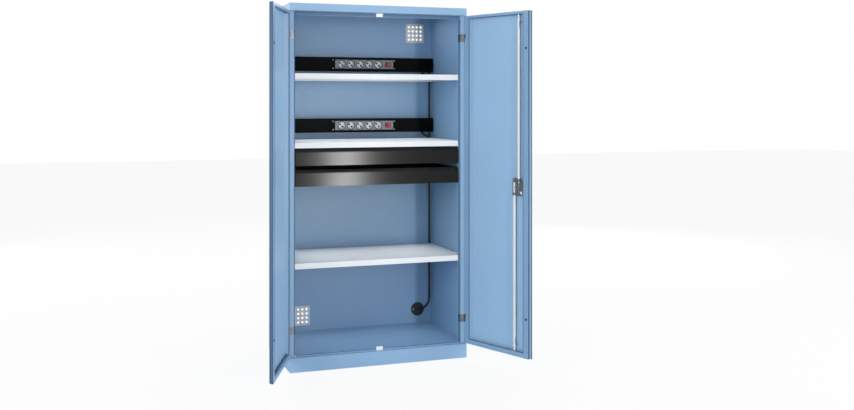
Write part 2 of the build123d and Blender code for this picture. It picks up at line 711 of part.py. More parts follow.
def build_doors():
    """Both doors with their hinges and the lock."""
    # the right door's inner layer steps back; the left door's reaches behind it
    edges = {1: (DOOR_GAP, DOOR_GAP + STEP), -1: (DOOR_GAP, DOOR_GAP - STEP - 1)}
    for side, name in ((1, "right"), (-1, "left")):
        outer, inner = edges[side]
        pan, liner = door_pan(outer, inner), door_liner(inner)
        if side > 0:
            up = right_of(LOCK_U + ROD_OFF)
            down = right_of(LOCK_U - ROD_OFF)
            holes = rod(up, ROD_Y, DOOR_HIGH - 30, DOOR_HIGH + 9, ROD_R + 0.4)
            holes += rod(down, ROD_Y, DOOR_LOW - 9, DOOR_LOW + 40, ROD_R + 0.4)
            pan = pan - holes - across(right_of(LOCK_U), LOCK_Z, FRONT - 1, FRONT + 3, 12.9)
            liner = liner - holes
        pieces = {
            f"door_{name}_pan": pan,
            f"door_{name}_liner": liner,
            f"door_{name}_buffers": buffers(inner),
            f"door_{name}_plugs": plugs(outer),
            f"door_{name}_hinge_leaves": hinge_door_leaves(),
        }
        for node, shape in pieces.items():
            write(node, swing(shape if side > 0 else mirrored(shape), side))
    lock = {
        "lock_case": lock_case(),
        "rod_guides": rod_guides(),
        "handle_plate": handle_plate(),
        "handle_lever": handle(),
        "lock_core": lock_core(),
        "lock_pinion": pinion(),
        "rod_upper": rack(1),
        "rod_lower": rack(-1),
    }
    for node, shape in lock.items():
        write(node, swing(shape, 1))


def build_drawers():
    """The two drawers with their telescopic slides."""
    for name, low in zip(("lower", "upper"), DRAWER_Z):
        write(f"drawer_{name}_tray", drawer_tray(low))
        write(f"drawer_{name}_front", drawer_front(low))
        write(f"slide_{name}_outer", slide_outer(low))
        write(f"slide_{name}_middle", slide_middle(low))
        write(f"slide_{name}_inner", slide_inner(low))


os.makedirs("parts", exist_ok=True)
build_carcass()
build_sockets()
build_doors()
build_drawers()
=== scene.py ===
"""The looks of a two-door charging cabinet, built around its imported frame.

The CAD nodes keep their shapes and get their finishes here, and small fittings that only the eye
needs are added as pieces. Fittings are sized in millimetres, which point() turns into metres. The
doors' fittings are modelled on shut doors and swung open with them. Lamps and camera are in metres.
"""

import logging
import math
from dataclasses import dataclass, field
from enum import Enum
from typing import Any, Callable, Iterable

import bpy
from mathutils import Matrix, Vector

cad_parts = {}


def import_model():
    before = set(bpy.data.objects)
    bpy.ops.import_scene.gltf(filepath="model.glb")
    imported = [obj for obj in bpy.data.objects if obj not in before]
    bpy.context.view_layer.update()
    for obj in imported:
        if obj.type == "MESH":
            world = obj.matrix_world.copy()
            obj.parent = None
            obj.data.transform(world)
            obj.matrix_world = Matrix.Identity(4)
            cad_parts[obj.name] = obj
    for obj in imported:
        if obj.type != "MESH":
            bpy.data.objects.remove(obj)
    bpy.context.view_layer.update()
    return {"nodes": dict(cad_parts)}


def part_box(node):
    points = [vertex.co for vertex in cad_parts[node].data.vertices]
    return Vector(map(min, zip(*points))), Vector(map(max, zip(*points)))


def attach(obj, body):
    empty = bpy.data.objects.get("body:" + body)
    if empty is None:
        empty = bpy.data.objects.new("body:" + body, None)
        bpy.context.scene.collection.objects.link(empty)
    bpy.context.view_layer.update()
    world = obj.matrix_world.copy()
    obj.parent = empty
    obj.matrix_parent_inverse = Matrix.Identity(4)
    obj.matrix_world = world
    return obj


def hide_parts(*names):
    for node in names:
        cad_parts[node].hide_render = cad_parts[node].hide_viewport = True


LOG = logging.getLogger("cabinet")
MM = 0.001
Colour = tuple[float, float, float]
Link = Any  # a number, a tuple, a Signal or a node socket


def srgb(red: int, green: int, blue: int) -> Colour:
    """Turn a screen colour into linear light.

    Args:
        red: red, 0 to 255.
        green: green, 0 to 255.
        blue: blue, 0 to 255.

    Returns:
        The linear colour.
    """
    parts = [value / 255 for value in (red, green, blue)]
    return tuple(p / 12.92 if p <= 0.04045 else ((p + 0.055) / 1.055) ** 2.4 for p in parts)


# ---------------------------------------------------------------- shader graphs


class Signal:
    """A number in a shader; Python's operators on it add Math nodes."""

    def __init__(self, graph: "Graph", socket: bpy.types.NodeSocket) -> None:
        """Wrap one output socket of a graph."""
        self.graph = graph
        self.socket = socket

    def _math(self, operation: str, first: Link, second: Link) -> "Signal":
        """Add one Math node.

        Args:
            operation: the node's operation.
            first: its first value.
            second: its second value.

        Returns:
            The node's result.
        """
        made = self.graph.add("ShaderNodeMath", {"operation": operation}, {0: first, 1: second})
        return Signal(self.graph, made.outputs[0])

    def __add__(self, other: Link) -> "Signal":
        """Add."""
        return self._math("ADD", self, other)

    __radd__ = __add__

    def __sub__(self, other: Link) -> "Signal":
        """Subtract."""
        return self._math("SUBTRACT", self, other)

    def __rsub__(self, other: Link) -> "Signal":
        """Subtract from a number."""
        return self._math("SUBTRACT", other, self)

    def __mul__(self, other: Link) -> "Signal":
        """Multiply."""
        return self._math("MULTIPLY", self, other)

    __rmul__ = __mul__

    def __gt__(self, other: Link) -> "Signal":
        """Give 1 where this is the greater one, and 0 elsewhere."""
        return self._math("GREATER_THAN", self, other)

    def smaller(self, other: Link) -> "Signal":
        """Give the smaller of two values."""
        return self._math("MINIMUM", self, other)


class Graph:
    """The nodes of one material."""

    def __init__(self, name: str) -> None:
        """Start a material with an empty node tree."""
        self.material = bpy.data.materials.new(name)
        self.material.use_nodes = True
        self.tree = self.material.node_tree
        self.tree.nodes.clear()
        self._place: bpy.types.NodeSocket | None = None

    def add(self, kind: str, settings: dict[str, Any] | None = None,
            values: dict[Any, Link] | None = None) -> bpy.types.Node:
        """Add a node.

        Args:
            kind: the node's type.
            settings: its properties, set first; "stops" are a ramp's positions and colours.
            values: numbers, colours or links for its inputs, by name or index.

        Returns:
            The node.
        """
        node = self.tree.nodes.new(kind)
        for key, value in (settings or {}).items():
            if key == "stops":
                ramp = node.color_ramp
                while len(ramp.elements) < len(value):
                    ramp.elements.new(1.0)
                for element, (position, colour) in zip(ramp.elements, value):
                    element.position = position
                    element.color = (*colour, 1.0)
            else:
                setattr(node, key, value)
        for key, value in (values or {}).items():
            target = node.inputs[key]
            if isinstance(value, Signal):
                self.tree.links.new(value.socket, target)
            elif isinstance(value, bpy.types.NodeSocket):
                self.tree.links.new(value, target)
            elif target.type == "RGBA" and len(value) == 3:
                target.default_value = (*value, 1.0)
            else:
                target.default_value = value
        return node

    def place(self, stretch: Colour = (1.0, 1.0, 1.0), shift: Colour = (0.0, 0.0, 0.0)) -> Link:
        """Give object coordinates.

        Args:
            stretch: how far the pattern is squeezed along each axis.
            shift: where the pattern starts.

        Returns:
            The coordinates' socket.
        """
        if self._place is None:
            self._place = self.add("ShaderNodeTexCoord").outputs["Object"]
        if stretch == (1.0, 1.0, 1.0) and shift == (0.0, 0.0, 0.0):
            return self._place
        mapping = self.add("ShaderNodeMapping", None,
                           {"Vector": self._place, "Scale": stretch, "Location": shift})
        return mapping.outputs[0]

    def noise(self, scale: float, detail: float = 2.0, stretch: Colour = (1.0, 1.0, 1.0)) -> Signal:
        """Add a noise.

        Args:
            scale: cells per metre.
            detail: how many finer layers it has.
            stretch: how far it is squeezed along each axis.

        Returns:
            The noise, about 0.5 on average.
        """
        made = self.add("ShaderNodeTexNoise", {"noise_dimensions": "3D"},
                        {"Vector": self.place(stretch), "Scale": scale, "Detail": detail})
        return Signal(self, made.outputs["Fac"])

    def ramp(self, signal: Signal, *stops: tuple[float, Colour]) -> Link:
        """Turn a signal into colours.

        Args:
            signal: the number that is looked up.
            stops: positions and colours.

        Returns:
            The colour's socket.
        """
        return self.add("ShaderNodeValToRGB", {"stops": stops}, {0: signal}).outputs[0]

    def mix(self, factor: Link, first: Link, second: Link) -> Link:
        """Mix two colours.

        Args:
            factor: the share of the second.
            first: the first colour.
            second: the second colour.

        Returns:
            The mixed colour's socket.
        """
        made = self.add("ShaderNodeMix", {"data_type": "RGBA"}, {0: factor, 6: first, 7: second})
        return made.outputs[2]

    def bump(self, height: Signal, depth: float) -> Link:
        """Add a bump.

        Args:
            height: the height, 0 to 1.
            depth: how deep the full height is, in metres.

        Returns:
            The normal's socket.
        """
        made = self.add("ShaderNodeBump", None,
                        {"Strength": 1.0, "Distance": depth, "Height": height})
        return made.outputs[0]

    def close(self, **values: Link) -> bpy.types.Material:
        """Add the Principled shader and the output.

        Args:
            values: the shader's inputs, with _ for a space.

        Returns:
            The finished material.
        """
        inputs = {key.replace("_", " "): value for key, value in values.items()}
        shader = self.add("ShaderNodeBsdfPrincipled", None, inputs)
        self.add("ShaderNodeOutputMaterial", None, {"Surface": shader.outputs[0]})
        return self.material


# ---------------------------------------------------------------- finishes


def lighter(colour: Colour, share: float) -> Colour:
    """Scale a colour's light.

    Args:
        colour: the linear colour.
        share: 1 leaves it alone.

    Returns:
        The scaled colour.
    """
    return tuple(min(1.0, part * share) for part in colour)


@dataclass(frozen=True)
class PowderCoat:
    """Baked powder paint with a fine orange peel."""

    name: str
    colour: Colour
    roughness: float = 0.42
    peel: float = 0.00006
    sheen_spread: float = 0.06
    specular: float = 0.5
    coat: float = 0.12
    coat_roughness: float = 0.25

    def build(self) -> bpy.types.Material:
        """Make the material."""
        graph = Graph(self.name)
        cloud = graph.noise(2.6, 3.0)
        fine = graph.noise(900.0, 1.0)
        dust = graph.noise(38.0, 4.0)
        tint = graph.ramp(cloud * 0.7 + dust * 0.3,
                          (0.25, lighter(self.colour, 0.955)), (0.75, lighter(self.colour, 1.03)))
        rough = self.roughness - self.sheen_spread / 2 + dust * self.sheen_spread
        peel = fine * 0.7 + graph.noise(320.0, 1.0) * 0.3
        return graph.close(Base_Color=tint, Roughness=rough, Normal=graph.bump(peel, self.peel),
                           Specular_IOR_Level=self.specular, Coat_Weight=self.coat,
                           Coat_Roughness=self.coat_roughness)


@dataclass(frozen=True)
class SheetMetal:
    """Bare or plated metal with drawn lines along one axis."""

    name: str
    colour: Colour
    roughness: float = 0.3
    along: int = 2
    lines: float = 1400.0
    depth: float = 0.00002

    def build(self) -> bpy.types.Material:
        """Make the material."""
        graph = Graph(self.name)
        stretch = tuple(0.02 if axis == self.along else 1.0 for axis in range(3))
        drawn = graph.noise(self.lines, 2.0, stretch)
        cloud = graph.noise(22.0, 3.0)
        tint = graph.ramp(drawn * 0.5 + cloud * 0.5,
                          (0.3, lighter(self.colour, 0.86)), (0.7, lighter(self.colour, 1.06)))
        rough = self.roughness - 0.06 + drawn * 0.12
        return graph.close(Base_Color=tint, Metallic=1.0, Roughness=rough,
                           Normal=graph.bump(drawn, self.depth))


@dataclass(frozen=True)
class Moulding:
    """Moulded plastic or rubber with a fine spark-eroded grain."""

    name: str
    colour: Colour
    roughness: float = 0.5
    grain: float = 1600.0
    depth: float = 0.00003
    coat: float = 0.0

    def build(self) -> bpy.types.Material:
        """Make the material."""
        graph = Graph(self.name)
        grain = graph.noise(self.grain, 2.0)
        cloud = graph.noise(55.0, 3.0)
        tint = graph.ramp(cloud, (0.3, lighter(self.colour, 0.9)),
                          (0.7, lighter(self.colour, 1.08)))
        rough = self.roughness - 0.05 + cloud * 0.1
        return graph.close(Base_Color=tint, Roughness=rough, Normal=graph.bump(grain, self.depth),
                           Coat_Weight=self.coat, Coat_Roughness=0.08)


@dataclass(frozen=True)
class PaintedLightRocker:
    """Translucent red switch plastic, one half painted brighter as painted light and the other
    darker as painted shade.
    """

    name: str
    middle: float
    # dark is the painted shade of one half, bright the painted light of the other
    dark: Colour = srgb(120, 10, 14)
    bright: Colour = srgb(226, 38, 34)

    def build(self) -> bpy.types.Material:
        """Make the material."""
        graph = Graph(self.name)
        split = graph.add("ShaderNodeSeparateXYZ", None, {0: graph.place()})
        # marks the half that gets the painted light
        right = Signal(graph, split.outputs[0]) > self.middle
        cloud = graph.noise(300.0, 2.0)
        tint = graph.mix(right, self.dark, self.bright)
        rough = 0.16 + cloud * 0.08
        return graph.close(Base_Color=tint, Roughness=rough, Coat_Weight=0.6, Coat_Roughness=0.05)


class Paint(Enum):
    """The finishes of the cabinet."""

    CARCASS = PowderCoat("carcass_blue", srgb(131, 167, 200))
    # the carcass blue painted lighter on the doors: painted light
    DOOR_PAINTED_LIGHTER = PowderCoat("door_blue", srgb(148, 183, 214))
    LINER = PowderCoat("door_liner_blue", srgb(124, 159, 191))
    SHELF = PowderCoat("shelf_light_grey", srgb(226, 229, 231), 0.38)
    STRIP = PowderCoat("strip_black", srgb(6, 7, 8), 0.42, specular=0.05, coat=0.0)
    DRAWER = PowderCoat("drawer_anthracite", srgb(10, 11, 12), 0.14, 0.000003, 0.03, 0.32, 0.0)
    BAR = PowderCoat("rod_light_grey", srgb(228, 224, 220), 0.34)
    LOCK = PowderCoat("lock_grey", srgb(92, 96, 102), 0.36)
    ZINC = SheetMetal("zinc_plate", srgb(200, 205, 210), 0.34, 1)
    ROD = SheetMetal("bright_rod", srgb(238, 236, 234), 0.42)
    HINGE = SheetMetal("polished_hinge", srgb(136, 139, 143), 0.26, 2, 900.0, 0.000004)
    KNUCKLE = SheetMetal("dark_hinge", srgb(74, 77, 81), 0.3, 2, 900.0, 0.000004)
    HOUSING = SheetMetal("anodised_housing", srgb(128, 131, 135), 0.5, 0)
    SOCKET = Moulding("socket_plastic", srgb(236, 240, 244), 0.4)
    BEZEL = Moulding("black_plastic", srgb(20, 20, 22), 0.35)
    VENT = Moulding("vent_plastic", srgb(214, 215, 216), 0.5)
    STOP = Moulding("white_plastic", srgb(240, 241, 242), 0.42)
    CABLE = Moulding("cable_sheath", srgb(24, 24, 25), 0.42, 700.0)
    RUBBER = Moulding("entry_rubber", srgb(42, 45, 48), 0.62, 900.0, 0.00006)
    HANDLE = Moulding("handle_plastic", srgb(34, 35, 38), 0.45)
    CONTACT = Moulding("contact_black", srgb(13, 13, 14), 0.5)
    NICKEL = SheetMetal("nickel_clip", srgb(206, 200, 188), 0.3, 1)
    # a dark navy that paints the shade of the doors' grooves
    SEAM = Moulding("painted_groove_shade", srgb(44, 66, 88), 0.6, 700.0, 0.00006)
    # a dark blue-grey that paints shade round the front opening
    SHADE_STRIP = Moulding("painted_shade_blue_grey", srgb(80, 110, 138), 0.6, 700.0, 0.00006)
    # a dark blue that paints shade on the doors' free edges
    EDGE = Moulding("painted_edge_shade_blue", srgb(58, 88, 117), 0.45, 700.0, 0.00004)


NODE_PAINTS: dict[Paint, tuple[str, ...]] = {
    Paint.CARCASS: ("side_left", "side_right", "roof_panel", "floor_panel", "plinth_frame",
                    "back_panel", "shelf_brackets"),
    Paint.DOOR_PAINTED_LIGHTER: ("door_left_pan", "door_right_pan"),
    Paint.LINER: ("door_left_liner", "door_right_liner", "rod_guides"),
    Paint.SHELF: ("shelf_lower", "shelf_middle", "shelf_upper"),
    Paint.STRIP: ("strip_lower", "strip_upper"),
    Paint.DRAWER: ("drawer_lower_tray", "drawer_lower_front", "drawer_upper_tray",
                   "drawer_upper_front"),
    Paint.LOCK: ("lock_case",),
    Paint.ZINC: ("slide_lower_outer", "slide_upper_outer", "slide_lower_middle",
                 "slide_upper_middle", "slide_lower_inner", "slide_upper_inner", "strip_screws",
                 "lock_pinion", "rod_upper"),
    Paint.ROD: ("lock_core",),
    Paint.BAR: ("rod_lower",),
    Paint.HINGE: ("hinge_frame_leaves",),
    Paint.KNUCKLE: ("hinge_pins", "door_left_hinge_leaves", "door_right_hinge_leaves"),
    Paint.HOUSING: ("socket_housing_lower", "socket_housing_upper"),
    Paint.SOCKET: ("sockets_lower", "sockets_upper"),
    Paint.BEZEL: ("switch_bezel_lower", "switch_bezel_upper", "door_left_buffers",
                  "door_right_buffers", "door_left_plugs", "door_right_plugs"),
    Paint.VENT: ("vent_lower", "vent_upper"),
    Paint.STOP: ("door_stop_lower", "door_stop_upper"),
    Paint.CABLE: ("main_cable", "branch_cable_lower", "branch_cable_upper", "cable_clips"),
    Paint.RUBBER: ("cable_entry",),
    Paint.HANDLE: ("handle_lever", "handle_plate"),
}


@dataclass
class Dresser:
    """Gives each CAD node its finish."""

    nodes: dict[str, bpy.types.Object]
    made: dict[Paint, bpy.types.Material] = field(default_factory=dict)

    def material(self, paint: Paint) -> bpy.types.Material:
        """Give a finish's material, made once.

        Args:
            paint: the finish.

        Returns:
            Its material.
        """
        if paint not in self.made:
            self.made[paint] = paint.value.build()
        return self.made[paint]

    def cover(self, node: str, material: bpy.types.Material) -> None:
        """Put a material on every slot of a CAD node.

        Args:
            node: the node's name.
            material: its material.
        """
        for slot in self.nodes[node].material_slots:
            slot.material = material

    def dress(self) -> None:
        """Dress all CAD nodes."""
        for paint, names in NODE_PAINTS.items():
            for name in names:
                self.cover(name, self.material(paint))
        for level in ("lower", "upper"):
            low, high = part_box(f"rocker_{level}")
            # each rocker's painted light and shade are split at its middle
            painted_light_rocker = PaintedLightRocker(f"rocker_{level}_red", (low.x + high.x) / 2)
            self.cover(f"rocker_{level}", painted_light_rocker.build())
        LOG.info("dressed %d nodes", sum(len(names) for names in NODE_PAINTS.values()) + 2)


# ---------------------------------------------------------------- modelling


@dataclass(frozen=True)
class Ring:
    """One ring of a turned piece: its radius and its place along the axis, in millimetres."""

    radius: float
    along: float


def point(x: float, y: float, z: float) -> Vector:
    """Give a place in metres from millimetres.

    Args:
        x: to the right.
        y: to the back.
        z: up.

    Returns:
        The place.
    """
    return Vector((x, y, z)) * MM


class Bench:
    """Shapes meshes with the modelling operators."""

    def clear(self) -> None:
        """Leave edit mode with nothing selected."""
        if bpy.context.object and bpy.context.object.mode != "OBJECT":
            bpy.ops.object.mode_set(mode="OBJECT")
        bpy.ops.object.select_all(action="DESELECT")

    def edit(self, mode: str = "FACE") -> None:
        """Enter edit mode on the active piece with all of it selected.

        Args:
            mode: VERT, EDGE or FACE.
        """
        bpy.ops.object.mode_set(mode="EDIT")
        bpy.ops.mesh.select_mode(type=mode)
        bpy.ops.mesh.select_all(action="SELECT")

    def pick(self, test: Callable[[bpy.types.MeshPolygon], bool]) -> None:
        """Select only the faces of the active piece that pass a test.

        Args:
            test: tells from a face whether it is wanted.
        """
        bpy.ops.mesh.select_all(action="DESELECT")
        bpy.ops.object.mode_set(mode="OBJECT")
        for face in bpy.context.object.data.polygons:
            face.select = test(face)
        bpy.ops.object.mode_set(mode="EDIT")

    def close(self, soft: float = 35.0) -> bpy.types.Object:
        """Turn the faces outwards, leave edit mode and smooth the gentle edges.

        Args:
            soft: the widest angle that is smoothed, in degrees.

        Returns:
            The piece.
        """
        bpy.ops.mesh.select_all(action="SELECT")
        bpy.ops.mesh.remove_doubles(threshold=0.000001)
        bpy.ops.mesh.normals_make_consistent(inside=False)
        bpy.ops.object.mode_set(mode="OBJECT")
        bpy.ops.object.shade_smooth_by_angle(angle=math.radians(soft))
        return bpy.context.object

    def turned(self, rings: Iterable[Ring], sides: int = 32) -> bpy.types.Object:
        """Turn a closed piece about the Z axis, from its foot to its top.

        Args:
            rings: the rings, from the foot on.
            sides: how many sides it has.

        Returns:
            The piece.
        """
        self.clear()
        first, *others = rings
        bpy.ops.mesh.primitive_circle_add(vertices=sides, radius=first.radius * MM,
                                          fill_type="NGON", location=(0.0, 0.0, first.along * MM))
        bpy.ops.object.transform_apply(location=True)
        self.edit()
        last = first
        for ring in others:
            bpy.ops.mesh.extrude_region_move(
                TRANSFORM_OT_translate={"value": (0.0, 0.0, (ring.along - last.along) * MM)})
            share = ring.radius / last.radius
            bpy.ops.transform.resize(value=(share, share, 1.0), center_override=(0.0, 0.0, 0.0))
            last = ring
        return self.close()

    def bar(self, low: Vector, high: Vector, edge: float = 0.4, steps: int = 2) -> bpy.types.Object:
        """Make a bar with rounded edges.

        Args:
            low: its lowest corner, in metres.
            high: its highest corner, in metres.
            edge: how far the edges are rounded, in millimetres.
            steps: how many faces round an edge.

        Returns:
            The piece.
        """
        self.clear()
        bpy.ops.mesh.primitive_cube_add(size=1.0, location=(low + high) / 2)
        bpy.context.object.scale = high - low
        bpy.ops.object.transform_apply(location=True, scale=True)
        self.edit("EDGE")
        bpy.ops.mesh.bevel(offset=edge * MM, segments=steps, affect="EDGES")
        return self.close(50.0)

    def put(self, piece: bpy.types.Object, move: Matrix) -> bpy.types.Object:
        """Move a piece and keep its place in its mesh.

        Args:
            piece: the piece.
            move: how it is moved.

        Returns:
            The piece.
        """
        self.clear()
        piece.select_set(True)
        bpy.context.view_layer.objects.active = piece
        piece.matrix_world = move
        bpy.ops.object.transform_apply(location=True, rotation=True, scale=True)
        return piece

    def copies(self, piece: bpy.types.Object, moves: Iterable[Matrix]) -> bpy.types.Object:
        """Copy a piece to several places and join the copies.

        Args:
            piece: the piece, which is used up.
            moves: where each copy goes.

        Returns:
            The joined piece.
        """
        made = []
        for move in moves:
            twin = piece.copy()
            twin.data = piece.data.copy()
            bpy.context.scene.collection.objects.link(twin)
            made.append(self.put(twin, move))
        bpy.data.objects.remove(piece)
        return self.joined(made)

    def joined(self, parts: list[bpy.types.Object]) -> bpy.types.Object:
        """Join pieces into the first one.

        Args:
            parts: the pieces.

        Returns:
            The joined piece.
        """
        self.clear()
        for part in parts:
            part.select_set(True)
        bpy.context.view_layer.objects.active = parts[0]
        bpy.ops.object.join()
        return parts[0]

    def cut(self, piece: bpy.types.Object, cutter: bpy.types.Object) -> bpy.types.Object:
        """Cut one piece out of another.

        Args:
            piece: the piece that is cut.
            cutter: the shape that is taken away, and used up.

        Returns:
            The cut piece.
        """
        self.clear()
        piece.select_set(True)
        bpy.context.view_layer.objects.active = piece
        modifier = piece.modifiers.new("recess", "BOOLEAN")
        modifier.operation = "DIFFERENCE"
        modifier.solver = "EXACT"
        modifier.object = cutter
        bpy.ops.object.modifier_apply(modifier="recess")
        bpy.data.objects.remove(cutter)
        return piece


def facing(place: Vector, way: Vector) -> Matrix:
    """Give the move that stands a turned piece on a place.

    Args:
        place: where its foot goes, in metres.
        way: where its axis points.

    Returns:
        The move.
    """
    return Matrix.Translation(place) @ way.to_track_quat("Z", "Y").to_matrix().to_4x4()


OUT = Vector((0.0, -1.0, 0.0))
IN = Vector((0.0, 1.0, 0.0))


@dataclass
class Assembly:
    """A group of pieces that share a bench and the finishes."""

    bench: Bench
    dresser: Dresser

    def fit(self, piece: bpy.types.Object, name: str, body: str, paint: Paint, slot: str,
            *replaced: str) -> bpy.types.Object:
        """Name, paint and fix a finished piece.

        Args:
            piece: the piece.
            name: its name.
            body: the body that carries it.
            paint: its finish.
            slot: the record's slot for its finish; not used.
            replaced: the CAD nodes that it stands for.

        Returns:
            The piece.
        """
        piece.name = piece.data.name = name
        piece.data.materials.clear()
        piece.data.materials.append(self.dresser.material(paint))
        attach(piece, body)
        if replaced:
            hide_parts(*replaced)
        LOG.info("%s: %d faces on %s", name, len(piece.data.polygons), body)
        return piece


@dataclass
class SocketUnits(Assembly):
    """The fittings of the two socket units."""

    face: float = 230.0
    floor: float = 246.0
    pitch: float = 55.9
    first: float = -81.0
    screws_x: tuple[float, float] = (-132.0, 244.0)
    plate: float = 238.0
    tail: tuple[float, float] = (430.0, 262.0)

    def middles(self, level: str) -> list[Vector]:
        """Give the middles of a unit's sockets.

        Args:
            level: lower or upper.

        Returns:
            Places on the housing's face.
        """
        low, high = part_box(f"socket_housing_{level}")
        height = (low.z + high.z) / 2 / MM
        return [point(self.first + self.pitch * index, self.face, height) for index in range(5)]

    def rims(self, level: str) -> None:
        """Lay a black rim round each socket.

        Args:
            level: lower or upper.
        """
        self.bench.clear()
        bpy.ops.mesh.primitive_torus_add(major_radius=21.8 * MM, minor_radius=2.0 * MM,
                                         major_segments=48, minor_segments=12)
        self.bench.edit()
        bpy.ops.transform.resize(value=(1.0, 1.0, 0.7), center_override=(0.0, 0.0, 0.0))
        self.bench.pick(lambda face: face.center.z > 0.9 * MM and face.center.xy.length < 21.8 * MM)
        bpy.ops.transform.translate(value=(0.0, 0.0, -0.35 * MM))
        rim = self.bench.close(60.0)
        moves = [facing(place - OUT * 0.3 * MM, OUT) for place in self.middles(level)]
        rims = self.bench.copies(rim, moves)
        self.fit(rims, f"socket_rims_{level}", "carcass", Paint.BEZEL, "socket_black")

    def contacts(self, level: str) -> None:
        """Put two contact sleeves on a diagonal of each socket's floor.

        Args:
            level: lower or upper.
        """
        rings = (Ring(5.6, -1.0), Ring(5.6, 1.2), Ring(5.0, 1.9), Ring(3.0, 1.9), Ring(2.5, 1.2),
                 Ring(2.4, -0.6))
        sleeve = self.bench.turned(rings, 24)
        moves = []
        for place in self.middles(level):
            for side in (-1.0, 1.0):
                shift = point(6.72 * side, self.floor - self.face, -6.72 * side)
                moves.append(facing(place + shift, OUT))
        sleeves = self.bench.copies(sleeve, moves)
        self.fit(sleeves, f"socket_contacts_{level}", "carcass", Paint.CONTACT, "socket_black")

    def earth_clips(self, level: str) -> None:
        """Put two sprung earth clips across each socket's other diagonal.

        Args:
            level: lower or upper.
        """
        clip = self.bench.bar(point(-2.3, 16.4, -12.0), point(2.3, 17.6, -0.6), 0.3)
        self.bench.edit()
        self.bench.pick(lambda face: face.normal.z > 0.9)
        bpy.ops.mesh.extrude_region_move(
            TRANSFORM_OT_translate={"value": (0.0, 1.4 * MM, 1.4 * MM)})
        clip = self.bench.close(50.0)
        moves = []
        for place in self.middles(level):
            for angle in (45.0, 225.0):
                turn = Matrix.Rotation(math.radians(angle), 4, "Z")
                moves.append(facing(place + IN * 2.0 * MM, OUT) @ turn)
        clips = self.bench.copies(clip, moves)
        self.fit(clips, f"earth_clips_{level}", "carcass", Paint.NICKEL, "polished")

    def screws(self) -> None:
        """Put pan-head screws with a cross recess at the ears of both units."""
        head = self.bench.turned((Ring(3.9, -0.2), Ring(3.9, 0.9), Ring(3.5, 1.7), Ring(2.6, 2.3),
                                  Ring(1.2, 2.5)), 24)
        arms = [self.bench.bar(point(-2.3, -0.5, 1.2), point(2.3, 0.5, 4.0), 0.1, 1),
                self.bench.bar(point(-0.5, -2.3, 1.2), point(0.5, 2.3, 4.0), 0.1, 1)]
        for arm in arms:
            head = self.bench.cut(head, arm)
        moves = []
        for level in ("lower", "upper"):
            low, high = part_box(f"socket_housing_{level}")
            height = (low.z + high.z) / 2 / MM
            for x in self.screws_x:
                for lift in (-24.0, 24.0):
                    tilt = Matrix.Rotation(math.radians(x + lift * 3), 4, "Z")
                    moves.append(facing(point(x, self.plate, height + lift), OUT) @ tilt)
        screws = self.bench.copies(head, moves)
        self.fit(screws, "unit_screws", "carcass", Paint.ROD, "zinc", "strip_screws")

    def glands(self) -> None:
        """Put a hexagonal gland where each tail leaves its strip."""
        nut = self.bench.turned((Ring(8.6, -1.5), Ring(8.6, 4.0), Ring(7.9, 4.8)), 6)
        boot = self.bench.turned(
            (Ring(7.0, 4.0), Ring(7.0, 6.4), Ring(6.4, 7.4), Ring(5.3, 9.4)), 24)
        gland = self.bench.joined([nut, boot])
        moves = []
        for level in ("lower", "upper"):
            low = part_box(f"strip_{level}")[0]
            moves.append(facing(point(*self.tail, low.z / MM), Vector((0.0, 0.0, -1.0))))
        glands = self.bench.copies(gland, moves)
        self.fit(glands, "strip_glands", "carcass", Paint.RUBBER, "rubber_black")

    def build(self) -> None:
        """Build all fittings."""
        for level in ("lower", "upper"):
            self.rims(level)
            self.contacts(level)
            self.earth_clips(level)
        self.screws()
        self.glands()


@dataclass
class CableEntry(Assembly):
    """The trim of the round cable entry."""

    def build(self) -> None:
        """Lay two moulded beads and two fixing screws on the entry's face."""
        low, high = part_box("cable_entry")
        middle = (low + high) / 2 / MM
        beads = []
        for radius, thick, y in ((37.5, 1.3, 284.7), (18.0, 1.6, 280.2)):
            self.bench.clear()
            bpy.ops.mesh.primitive_torus_add(major_radius=radius * MM, minor_radius=thick * MM,
                                             major_segments=64, minor_segments=10)
            self.bench.edit()
            bpy.ops.transform.resize(value=(1.0, 1.0, 0.8), center_override=(0.0, 0.0, 0.0))
            bead = self.bench.close(60.0)
            beads.append(self.bench.put(bead, facing(point(middle.x, y, middle.z), OUT)))
        self.fit(self.bench.joined(beads), "entry_beads", "carcass", Paint.RUBBER, "rubber_black")
        head = self.bench.turned(
            (Ring(3.4, -0.2), Ring(3.4, 0.7), Ring(2.7, 1.6), Ring(1.6, 1.9)), 20)
        slot = self.bench.bar(point(-5.0, -0.4, 0.9), point(5.0, 0.4, 4.0), 0.1, 1)
        head = self.bench.cut(head, slot)
        moves = [facing(point(middle.x + side * 28.5, 284.5, middle.z), OUT) for side in (-1, 1)]
        screws = self.bench.copies(head, moves)
        self.fit(screws, "entry_screws", "carcass", Paint.ZINC, "zinc")


@dataclass
class BackRivets(Assembly):
    """The blind rivets that hold the back wall."""

    rows: int = 10
    head: float = 3.2

    def build(self) -> None:
        """Set a column of rivets along each edge of the back."""
        low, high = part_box("back_panel")
        rings = (Ring(self.head, -0.2), Ring(self.head, 0.3), Ring(2.5, 1.1), Ring(1.3, 1.4),
                 Ring(1.0, 0.9))
        rivet = self.bench.turned(rings, 20)
        moves = []
        for row in range(self.rows):
            height = (low.z + high.z) / 2 / MM + (row - (self.rows - 1) / 2) * 200.0
            for side in (-1.0, 1.0):
                moves.append(facing(point(side * 488.0, high.y / MM, height), IN))
        rivets = self.bench.copies(rivet, moves)
        self.fit(rivets, "back_rivets", "carcass", Paint.ZINC, "zinc")


